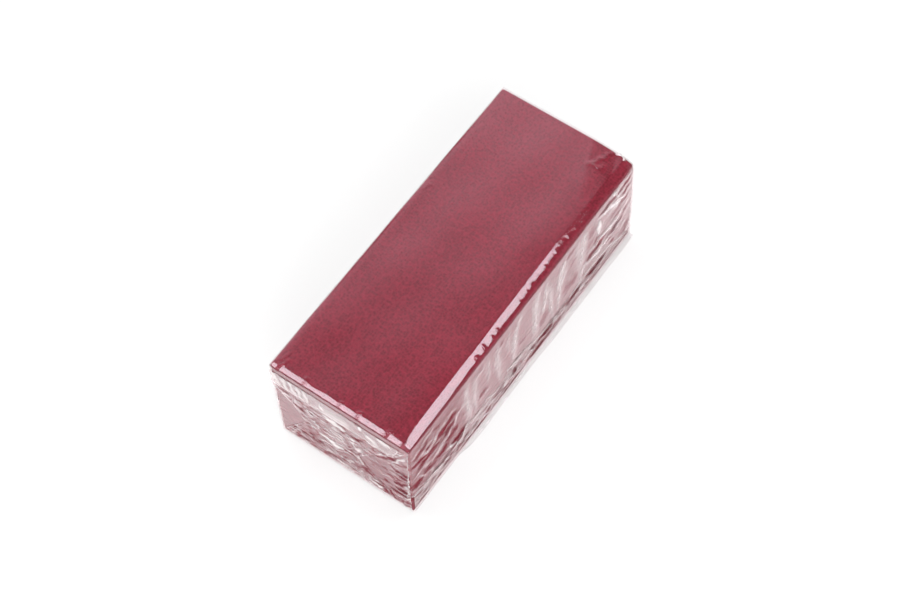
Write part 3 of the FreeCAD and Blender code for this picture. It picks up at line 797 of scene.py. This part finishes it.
BOTTOM_BACK = [(42, 0.3), (24, 29), (15.5, 43), (12, 49)]       # edges, from their foot up
BOTTOM_FRONT = [(-34, 0.3), (-27, 8), (-21, 14.5), (-13, 22), (-8, 31), (-5, 49)]
LID_BACK = [(17, 27.5), (24, 30), (27, 37), (31, 43), (42, 52.5), (42, 69.5)]
LID_FRONT = [(-9, 27.5), (-16, 38), (-24, 47.5), (-34, 57), (-41, 69.5)]
STRIP_BACK = [(41.8, 53.6), (42, 69.5)]
STRIP_FRONT = [(-23, 50), (-33, 58), (-36, 66), (-41, 69.5)]


def edge_at(edge, z):
    """The y of a flap's edge, given as points, at each height z."""
    places, heights = zip(*edge)
    return np.interp(z, heights, places)


def within(y, level, edges, low, high, margin):
    """1 where a point of an end lies under the layer with those edges and heights, 0 outside it."""
    back, front = (edge_at(edge, level) for edge in edges)
    inside = np.minimum.reduce([back - y, y - front, level - low, high - level])
    return np.clip(inside / margin, 0, 1)


def end_sheet(name, side, edges, low, high, folds, lift, gathered, covers, seed):
    """One layer of film on an end, between two edges and two heights.

    Where a later layer covers it, the two cling and only the outer one shines. A painted highlight runs along
    its edges, and it is clearer within 3 mm of the floor."""
    share = np.linspace(0, 1, END_STEPS)
    z = np.linspace(low, high, int((high - low) / END_ROW))
    left, right = (edge_at(edge, z)[:, None] for edge in edges)
    y = left + (right - left) * share
    level = np.repeat(z[:, None], END_STEPS, 1)
    out, haze_and_sheen_paint = folded_surface(y, level, folds, seed)
    rim = np.minimum(share, 1 - share)[None, :] * np.abs(right - left)
    foot = (level - low) * (low > 5)
    nearest = np.where(low > 5, np.minimum(rim, foot), rim)
    edge_line = np.clip(1 - nearest / 0.9, 0, 1)
    # Painted highlight along the layer's edges; clearer near the floor.
    haze_and_sheen_paint += gathered + 0.8 * edge_line - 1.2 * np.clip((3.0 - level) / 1.0, 0, 1)
    for cover in covers:
        hidden = within(y, level, *cover, 0.8)
        haze_and_sheen_paint = haze_and_sheen_paint * (1 - hidden) - CLING * hidden
    calm_rim = np.clip((FILM_TOP - 2 - level) / (3.0 if side < 0 else 30.0), 0, 1)
    haze_and_sheen_paint *= np.clip((FILM_TOP - 1.2 - level) / 2.0, 0, 1)
    x = side * (HALF_LENGTH - 0.1 + (lift + out + 0.12 * edge_line) * calm_rim)
    points = np.stack([x, y, level], -1)
    drop = sag(np.full_like(y, side * HALF_LENGTH), y)
    points[..., 2] -= drop * np.clip(level / FILM_TOP, 0, 1) ** SAG_POWER
    return grid_object(name, points, haze_and_sheen_paint, False, lambda p: np.broadcast_to((side, 0, 0), p.shape))


def film_end(name, side, seed, smooth, creased):
    """One end: the tucked layer, the bottom flap, the top flap over it and its doubled strip."""
    inner = HALF_WIDTH - 0.9
    square = ([(inner, 0), (inner, 80)], [(-inner, 0), (-inner, 80)])
    tuck = made_folds(TUCK_FOLDS) + scattered_folds(10, (-40, 6), (-18, 60), 10, 0.4, 2.2, 40, seed)
    tuck += scattered_folds(26, (-41, 4), (-24, 46), 9, 0.7, 1.3, 30, seed + 9)
    low = made_folds(BOTTOM_FLAP_FOLDS)
    low += scattered_folds(64, (-30, 3), (36, 25), 7, 0.8, 1.5, 18, seed + 1)
    low += scattered_folds(16, (-10, 27), (20, 46), 7, 0.4, 1.7, 30, seed + 2)
    lid = made_folds(LID_FOLDS)
    lid += scattered_folds(34, (8, 33), (36, 53), 5, 0.6, 1.3, 45, seed + 3)
    lid += scattered_folds(26, (-30, 32), (2, 53), 6, 0.6, 1.7, 50, seed + 4)
    strip = made_folds(STRIP_FOLDS)
    top = FILM_TOP - 0.8
    bottom_area = ((BOTTOM_BACK, BOTTOM_FRONT), 0.6, 48.5)
    lid_area = ((LID_BACK, LID_FRONT), 27.0, 66.5)
    strip_area = ((STRIP_BACK, STRIP_FRONT), 54.6, 66.0)
    layers = [end_sheet(name + "_tuck", side, square, 0.9, top, tuck, 0.03, 0.0,
                        (bottom_area, lid_area), seed + 5),
              end_sheet(name + "_bottom", side, *bottom_area, low, 0.12, 0.32, (lid_area,), seed + 6),
              end_sheet(name + "_lid", side, *lid_area, lid, 0.24, 0.55, (strip_area,), seed + 7),
              end_sheet(name + "_strip", side, *strip_area, strip, 0.34, 0.42, (), seed + 8)]
    for layer, material in zip(layers, (smooth, creased, creased, smooth)):
        layer.data.materials.append(material)
    return joined(name, layers)


# The lap's upper edge and its folds, in x and z
LAP_EDGE = [(-99.5, 19), (-88, 18.5), (-82, 17.5), (-75, 15.5), (-66, 16), (-61, 18.5), (-55, 23),
            (-47, 20.5), (-41, 20.5), (-35, 22.3), (-30, 18), (-20, 17.6), (-17.5, 24.5), (-10, 24),
            (-2, 23), (9, 18), (14, 16), (27, 15.7), (36, 15.3), (50, 17.5), (57, 19), (66, 18),
            (78, 17), (84, 12.5), (91, 9), (99.5, 10)]
LAP_FOLDS = fold_rows("""
light 0.8 1.8 -99,17.6 -75,14.5 -60,17 -45,18.6 -30,17.4
light 0.8 1.6 -80,8 -62,8.4 -45,8 -34,7.6
light 0.8 1.8 -30,12.5 -10,12.8 8,12
light 0.9 2 -18,21 -6,21.5 8,16.5
light 0.8 1.6 10,12.5 30,12.5 46,12.8
dark 0.8 3.2 10,15 18,14.4 25,15.2
dark 0.75 3.4 31,14.6 40,15.2 52,14.8
dark 0.7 4 54,15.4 64,16 76,14.6
dark 0.7 2.4 -2,7.8 8,7.2 22,7.6
dark 0.7 2.4 -26,6 -12,5.6 -2,5.8
dark 0.8 2.2 -48,5.4 -40,4.6 -32,5.2
light 0.8 1.6 48,10.6 66,11.4 80,9.6
dark 0.8 2.6 -75,12 -70,12.8 -66,12.8
dark 0.65 2.4 -65,9.6 -58,12 -51,14.2
dark 0.65 2.4 -49,11 -43,11.3
dark 1 3.6 -14,15.6 -9.6,15.6
dark 0.8 3 -6,16 -3.6,16.6
dark 0.6 2.4 -82,7.5 -76,6.5
dark 0.6 3 -62,4.5 -56,5.5 -52,6
dark 0.6 2.6 -31,15.4 -20,15.2
dark 0.5 2.4 -42,15 -35,14.6
dark 0.6 2.6 -37,9.5 -33,9.2
dark 0.5 2.4 -24,9.6 -14,9.4
dark 0.5 2.4 -32,5.4 -12,5.4
dark 0.5 2.4 -98,16 -91,17
dark 0.5 2.4 -98,11.5 -88,11
dark 0.5 2.4 -96,5 -84,4.4
dark 0.9 3.4 4,15 7.6,15.6
dark 0.6 3 9,14 20,14.8 26,16
dark 0.9 3 27.6,15.6 31,15.4
dark 0.6 3 34,14.6 42,15 50,15.6
dark 0.6 2.8 0,6.4 10,7 18,6.6
dark 0.7 2.6 24,9 33,8.6 38,9.4
dark 0.5 3.4 56,15 68,15.4 78,13.6
dark 0.5 2.4 50,9 56,8 60,7.6
dark 0.45 2 76,3.6 84,4.2 94,3.8
light 0.55 2 -66,14 -56,17 -50,18
light 0.65 2.4 -62,8 -50,8.6 -44,8
light 0.65 2.4 -42,13 -30,12.4 -16,12.4 -2,13
light 0.55 2 -46,7 -30,7 -10,7.4
light 0.55 2 -98,13.6 -86,13.8
light 0.65 2.2 -96,8.6 -90,8 -84,3
light 0.55 2 12,10.6 24,11 34,12
light 0.55 2 40,11 56,11.4 78,9.6
light 0.55 1.4 28,15 32,10 38,3
light 0.55 1.4 50,12 55,8 60,4
""")


FIN_WIDTH, FIN_WAVER = 2.2, 0.3


def film_seam():
    """The long seam: the film's edge lapped up the front's foot, and its fin out on the floor."""
    x = np.linspace(-HALF_LENGTH + 1.0, HALF_LENGTH - 0.5, LENGTH_STEPS)
    lap_x, lap_z = np.array(LAP_EDGE).T
    top = np.interp(x, lap_x, lap_z)
    fin = FIN_WIDTH + FIN_WAVER * noise_along(x, 45, 61)
    fin *= np.clip((x + 62) / 9, 0.05, 1)
    share = np.linspace(0, 1, SEAM_STEPS)
    length = top + fin
    run = length[:, None] * share
    down = np.clip(top[:, None] - run, 0.25, None)
    outward = np.clip(run - top[:, None], 0, None)
    grid_x = np.repeat(x[:, None], len(share), 1)
    folds = made_folds(LAP_FOLDS) + scattered_folds(50, (-96, 2), (96, 14), 9, 0.5, 2.0, 12, 62)
    relief, haze_and_sheen_paint = folded_surface(grid_x, down, folds, 63)
    relief *= np.clip(down / FOOT_FADE, 0, 1)
    # Painted highlight: a pale line along the lap's upper edge.
    lip = np.clip(1 - run / 1.0, 0, 1)
    haze_and_sheen_paint += 0.22 + 0.3 * np.clip((down - 4) / 8, 0, 1) + 1.2 * lip - 0.42 * np.clip(outward, 0, 1)
    under = front_relief(grid_x, down)[0] * np.clip(down / FOOT_FADE, 0, 1)
    y = -HALF_WIDTH - 0.1 - under - relief - outward
    ripple = 0.1 * ridged_noise(np.stack([grid_x.ravel(), outward.ravel()], 1), (14, 6), 65)
    z = down + ripple.reshape(grid_x.shape) * np.clip(outward / 2, 0, 1)
    points = np.stack([grid_x, y, z], -1)
    return grid_object("film_seam", points, haze_and_sheen_paint, False, lambda p: np.broadcast_to((0, -1, 0.3), p.shape))


# Stage, in metres

FLOOR_HALF = 4.0
FLOOR_DROP = 0.0003        # keeps the floor clear of the film that lies on it

# Each lamp's middle, size, share of the lamp level, and the point it faces.
LAMPS = {
    "softbox_overhead": ((0.65, -0.21, 2.0), (0.64, 1.06), 1.0, (0.65, -0.21, 0)),
    "softbox_behind": ((-0.03, 0.8, 2.0), (1.04, 0.72), 1.0, (-0.03, 0.8, 0)),
    "softbox_low": ((-1.5, 0.46, 0.16), (0.5, 0.25), 0.3, (0, 0, 0.035)),
    "softbox_front": ((-0.9, -1.1, 1.25), (1.5, 1.0), 0.95, (0, 0, 0.035)),
}


def camera():
    """The photograph's camera: its place, heading and lens, worked out from the pack's corners."""
    look = bpy.context.scene.napkins_stage
    azimuth, elevation, roll = look.azimuth, look.elevation, look.roll
    back = Vector((math.sin(azimuth) * math.cos(elevation), -math.cos(azimuth) * math.cos(elevation),
                   math.sin(elevation)))
    right = (-back).cross(Vector((0, 0, 1))).normalized()
    up = right.cross(-back)
    right, up = (math.cos(roll) * right + math.sin(roll) * up,
                 -math.sin(roll) * right + math.cos(roll) * up)
    data = bpy.data.cameras.new("camera")
    data.lens = look.lens
    data.sensor_width = 36.0
    data.dof.use_dof = False
    data.clip_start, data.clip_end = 0.05, 50.0
    made = bpy.data.objects.new("camera", data)
    turned = Matrix((right, up, back)).transposed().to_4x4()
    made.matrix_world = Matrix.Translation(Vector(look.aim) + back * look.distance) @ turned
    bpy.context.scene.collection.objects.link(made)
    bpy.context.scene.camera = made


def softbox(name, middle, size, radiance, aim):
    """A soft rectangular lamp that faces a point."""
    data = bpy.data.lights.new(name, "AREA")
    data.shape = "RECTANGLE"
    data.size, data.size_y = size
    data.energy = radiance * math.pi * size[0] * size[1]
    made = bpy.data.objects.new(name, data)
    made.location = middle
    made.rotation_euler = (Vector(middle) - Vector(aim)).to_track_quat("Z", "Y").to_euler()
    bpy.context.scene.collection.objects.link(made)


def floor(look):
    """A wide matt white floor."""
    half, level = FLOOR_HALF, -FLOOR_DROP
    mesh = bpy.data.meshes.new("floor")
    mesh.from_pydata([(-half, -half, level), (half, -half, level), (half, half, level), (-half, half, level)],
                     [], [(0, 1, 2, 3)])
    material, tree, output = new_material("matt_white_paper_sweep")
    place = add(tree, "TexCoord").outputs["Object"]
    mottle = add(tree, "TexNoise", Vector=place, Scale=1.5, Detail=1.0)
    tone = add(tree, "Mix", {"data_type": "RGBA"}, i0=mottle.outputs["Fac"],
               i6=linear("#fbfbfb"), i7=linear("#ffffff"))
    matt = add(tree, "BsdfDiffuse", Color=tone.outputs[2])
    path = add(tree, "LightPath")
    seen = add(tree, "Math", {"operation": "MAXIMUM"}, i0=path.outputs["Is Camera Ray"],
               i1=path.outputs["Is Transmission Ray"])
    share = add(tree, "Math", {"operation": "MULTIPLY"}, i0=seen, i1=look.floor_white)
    white = add(tree, "Emission", Color=(1, 1, 1, 1), Strength=1.0)
    paper = add(tree, "MixShader", i0=share, i1=matt, i2=white)
    tree.links.new(paper.outputs[0], output.inputs["Surface"])
    mesh.materials.append(material)
    made = bpy.data.objects.new("floor", mesh)
    bpy.context.scene.collection.objects.link(made)


def room(look):
    """Grey walls, a pale band above them and a darker ceiling; plain white straight to the camera."""
    world = bpy.data.worlds.new("room")
    world.use_nodes = True
    tree = world.node_tree
    tree.nodes.clear()
    heading = add(tree, "TexCoord").outputs["Generated"]
    parts = add(tree, "SeparateXYZ", Vector=heading)
    height = parts.outputs["Z"]
    behind = add(tree, "MapRange", i0=parts.outputs["Y"], i1=0.08, i2=0.22, i3=0.0, i4=look.band_level)
    rise = add(tree, "MapRange", {"interpolation_type": "SMOOTHSTEP"}, i0=height,
               i1=0.68, i2=0.8, i3=look.wall_level, i4=behind)
    zenith = add(tree, "MapRange", {"interpolation_type": "SMOOTHSTEP"}, i0=height,
                 i1=0.925, i2=0.965, i3=0.0, i4=look.zenith_level)
    ceiling = add(tree, "MapRange", i0=height, i1=look.band_top, i2=look.ceiling,
                  i3=1.0, i4=look.ceiling_level / look.band_level)
    level = add(tree, "Math", {"operation": "MULTIPLY_ADD"}, i0=rise, i1=ceiling, i2=zenith)
    path = add(tree, "LightPath")
    strength = add(tree, "Mix", {"data_type": "FLOAT"}, i0=path.outputs["Is Camera Ray"], i2=level, i3=1.0)
    tint = add(tree, "Mix", {"data_type": "RGBA"}, i0=path.outputs["Is Glossy Ray"],
               i6=linear("#ffffff"), i7=linear("#ffe0e6"))
    shade = add(tree, "Background", Color=tint.outputs[2], Strength=strength)
    output = add(tree, "OutputWorld")
    tree.links.new(shade.outputs[0], output.inputs["Surface"])
    bpy.context.scene.world = world


# Settings

class PaperLook(bpy.types.PropertyGroup):
    """Dye and embossing of the tissue."""
    dye_dark: StringProperty(
        name="Deeper dye", description="Darker tone of the tissue, as an sRGB hex code", default="#711828")
    dye_light: StringProperty(
        name="Lighter dye", description="Lighter tone of the tissue, as an sRGB hex code", default="#8e273a")
    emboss_pitch: FloatProperty(
        name="Embossing pitch", description="Distance between two dimples of the embossing",
        default=1.5 * MM, unit="LENGTH")


class FilmLook(bpy.types.PropertyGroup):
    """Gloss of the clear film."""
    head_on: FloatProperty(
        name="Mirror head on", description="Share of light that both faces of the film mirror head on",
        default=0.106, min=0, max=1, subtype="FACTOR")
    glance_power: FloatProperty(
        name="Glance power", description="How late the mirroring rises towards a glancing view",
        default=3.4, min=1)
    roughness: FloatProperty(
        name="Roughness", description="Blur of what the film mirrors", default=0.07, min=0, max=1)
    sheen_head_on: StringProperty(
        name="Sheen head on", description="Tint that the thin film mirrors head on, as an sRGB hex code",
        default="#e6e6ef")
    sheen_glancing: StringProperty(
        name="Sheen glancing", description="Tint that it mirrors at a glancing view, as an sRGB hex code",
        default="#fff0f3")
    milk: StringProperty(
        name="Milk", description="Colour of gathered film, as an sRGB hex code", default="#efe9e8")


class StageLook(bpy.types.PropertyGroup):
    """Camera, lamps and room."""
    azimuth: FloatProperty(
        name="Azimuth", description="Heading of the camera round the pack", default=math.radians(-52.02),
        subtype="ANGLE")
    elevation: FloatProperty(
        name="Elevation", description="Height of the camera above the horizon",
        default=math.radians(60.46), subtype="ANGLE")
    roll: FloatProperty(
        name="Roll", description="Turn of the camera about its own line of sight",
        default=math.radians(-3.14), subtype="ANGLE")
    distance: FloatProperty(
        name="Distance", description="From the camera to the point it aims at", default=1.0721,
        unit="LENGTH")
    lens: FloatProperty(
        name="Lens", description="Focal length in millimetres on a sensor 36 mm wide", default=83.07)
    aim: FloatVectorProperty(
        name="Aim", description="Point that the camera aims at", default=(-0.00486, 0.00358, 0.03507),
        subtype="TRANSLATION", unit="LENGTH")
    wall_level: FloatProperty(
        name="Wall level", description="Brightness of the walls", default=0.28)
    band_level: FloatProperty(
        name="Band level", description="Brightness of the pale band above the back wall", default=1.45)
    band_top: FloatProperty(
        name="Band top", description="Sine of the height at which the band begins to darken",
        default=0.815)
    ceiling: FloatProperty(
        name="Ceiling", description="Sine of the height at which the ceiling begins", default=0.90)
    zenith_level: FloatProperty(
        name="Zenith level", description="Brightness of the room straight above", default=0.9, min=0)
    ceiling_level: FloatProperty(
        name="Ceiling level", description="Brightness of the ceiling", default=0.08)
    floor_white: FloatProperty(
        name="Floor white", description="Share of plain white in the floor as it is seen", default=0.6,
        min=0, max=1, subtype="FACTOR")
    lamp_level: FloatProperty(
        name="Lamp level", description="Brightness of the soft lamps", default=5.8)


class NAPKINS_OT_paper(bpy.types.Operator):
    """Make each folded napkin"""
    bl_idname = "napkins.paper"
    bl_label = "Napkins"

    def execute(self, context):
        napkin_pieces(context.scene.napkins_paper)
        return {"FINISHED"}


class NAPKINS_OT_film(bpy.types.Operator):
    """Make the film: the wrap, both folded ends and the long seam"""
    bl_idname = "napkins.film"
    bl_label = "Film"

    def execute(self, context):
        look = context.scene.napkins_film
        films = {kind: clear_film(look, kind) for kind in FILM_KINDS}
        sleeve, seam = film_sleeve(), film_seam()
        near = film_end("film_end_near", -1, 71, films["slack"], films["creased"])
        far = film_end("film_end_far", 1, 91, films["slack"], films["creased"])
        for piece, kinds in ((sleeve, ("tight", "slack")), (seam, ("lapped",)), (near, ()), (far, ())):
            for kind in kinds:
                piece.data.materials.append(films[kind])
            placed(piece, FILM_NODE)
        return {"FINISHED"}


class NAPKINS_OT_stage(bpy.types.Operator):
    """Make the floor, room, lamps and camera"""
    bl_idname = "napkins.stage"
    bl_label = "Stage"

    def execute(self, context):
        look = context.scene.napkins_stage
        context.scene.view_settings.view_transform = "Standard"
        camera()
        floor(look)
        room(look)
        for name, (middle, size, share, aim) in LAMPS.items():
            softbox(name, middle, size, share * look.lamp_level, aim)
        return {"FINISHED"}


class NAPKINS_PT_panel(bpy.types.Panel):
    """Buttons and settings for the pack"""
    bl_label = "Napkins"
    bl_idname = "NAPKINS_PT_panel"
    bl_space_type = "VIEW_3D"
    bl_region_type = "UI"
    bl_category = "Napkins"

    def draw(self, context):
        for group in ("napkins_paper", "napkins_film", "napkins_stage"):
            settings = getattr(context.scene, group)
            box = self.layout.box()
            for key in settings.bl_rna.properties.keys():
                if key not in ("rna_type", "name"):
                    box.prop(settings, key)
        for operator in (NAPKINS_OT_paper, NAPKINS_OT_film, NAPKINS_OT_stage):
            self.layout.operator(operator.bl_idname)


CLASSES = (PaperLook, FilmLook, StageLook, NAPKINS_OT_paper, NAPKINS_OT_film, NAPKINS_OT_stage,
           NAPKINS_PT_panel)


def register():
    for item in CLASSES:
        bpy.utils.register_class(item)
    bpy.types.Scene.napkins_paper = PointerProperty(type=PaperLook)
    bpy.types.Scene.napkins_film = PointerProperty(type=FilmLook)
    bpy.types.Scene.napkins_stage = PointerProperty(type=StageLook)


def unregister():
    del bpy.types.Scene.napkins_paper, bpy.types.Scene.napkins_film, bpy.types.Scene.napkins_stage
    for item in reversed(CLASSES):
        bpy.utils.unregister_class(item)


def main():
    register()
    bpy.ops.napkins.stage()
    bpy.ops.napkins.paper()
    bpy.ops.napkins.film()


if __name__ == "__main__":
    main()
